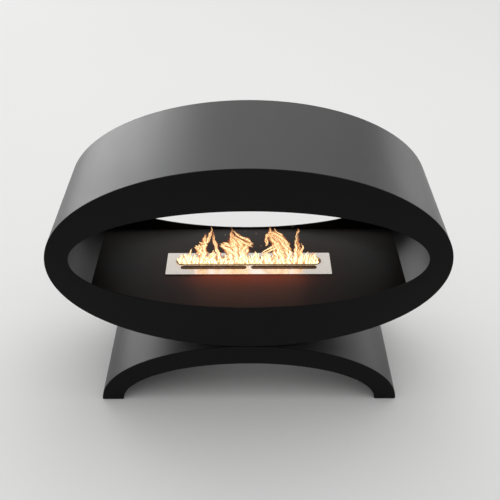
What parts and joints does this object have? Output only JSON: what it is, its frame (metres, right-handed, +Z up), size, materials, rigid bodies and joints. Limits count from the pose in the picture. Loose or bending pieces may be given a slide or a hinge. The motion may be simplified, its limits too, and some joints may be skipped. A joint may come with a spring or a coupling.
{
  "type": "bioethanol fireplace",
  "caption": "Free-standing bioethanol fireplace: elliptical black drum, open front and rear, on a hollow arched base, with a drop-in stainless burner and a sliding shutter.",
  "frame": {"origin": "on the ground, in the middle of the base's footprint", "axes": "+X to the viewer's right, along the drum's long axis; +Y to the rear; +Z up"},
  "size_m": [1, 0.38, 0.722],
  "materials": {
    "black_coat": "satin black powder coat",
    "hearth_coat": "satin black heat-proof coat",
    "burner_steel": "brushed stainless steel",
    "inner_steel": "mill-finish stainless steel, heat tinted",
    "zinc_steel": "zinc plated",
    "ceramic_fibre": "matt white ceramic fibre",
    "glide_rubber": "matt black rubber"
  },
  "bodies": {
    "stand": {"base_foot_left": "black_coat", "base_foot_right": "black_coat", "base_front_plate": "black_coat", "base_inner_skin": "black_coat", "base_outer_skin": "black_coat", "base_rear_plate": "black_coat", "base_rib_left": "black_coat", "base_rib_right": "black_coat", "bevel_washer_front_left": "zinc_steel", "bevel_washer_front_right": "zinc_steel", "bevel_washer_rear_left": "zinc_steel", "bevel_washer_rear_right": "zinc_steel", "drum_bolt_front_left": "zinc_steel", "drum_bolt_front_right": "zinc_steel", "drum_bolt_rear_left": "zinc_steel", "drum_bolt_rear_right": "zinc_steel", "drum_shell": "black_coat", "floor_ledge_left": "black_coat", "floor_ledge_right": "black_coat", "floor_stiffener_front": "black_coat", "floor_stiffener_rear": "black_coat", "front_face": "black_coat", "glide_front_left": "glide_rubber", "glide_front_right": "glide_rubber", "glide_rear_left": "glide_rubber", "glide_rear_right": "glide_rubber", "hearth_floor": "hearth_coat", "rear_face": "black_coat", "saddle_bar_left": "black_coat", "saddle_bar_right": "black_coat", "weld_nut_front_left": "inner_steel", "weld_nut_front_right": "inner_steel", "weld_nut_rear_left": "inner_steel", "weld_nut_rear_right": "inner_steel"},
    "burner": {"burner_plate": "burner_steel", "ceramic_wick": "ceramic_fibre", "deck_screw_front_left": "zinc_steel", "deck_screw_front_right": "zinc_steel", "deck_screw_rear_left": "zinc_steel", "deck_screw_rear_right": "zinc_steel", "drip_tray": "inner_steel", "fuel_tank": "inner_steel", "shutter_rail_left": "inner_steel", "shutter_rail_right": "inner_steel", "slot_mesh_left": "inner_steel", "slot_mesh_right": "inner_steel", "tank_bearer_left": "inner_steel", "tank_bearer_right": "inner_steel", "tank_deck": "burner_steel", "wick_mesh": "inner_steel"},
    "shutter": {"shutter": "burner_steel"}
  },
  "joints": [
    {"name": "burner_lift", "type": "slide", "parent": "stand", "child": "burner", "axis": [0, 0, 1], "range_m": [0, 0.075]},
    {"name": "shutter_slide", "type": "slide", "parent": "burner", "child": "shutter", "axis": [0, 1, 0], "range_m": [0, 0.0325]}
  ]
}
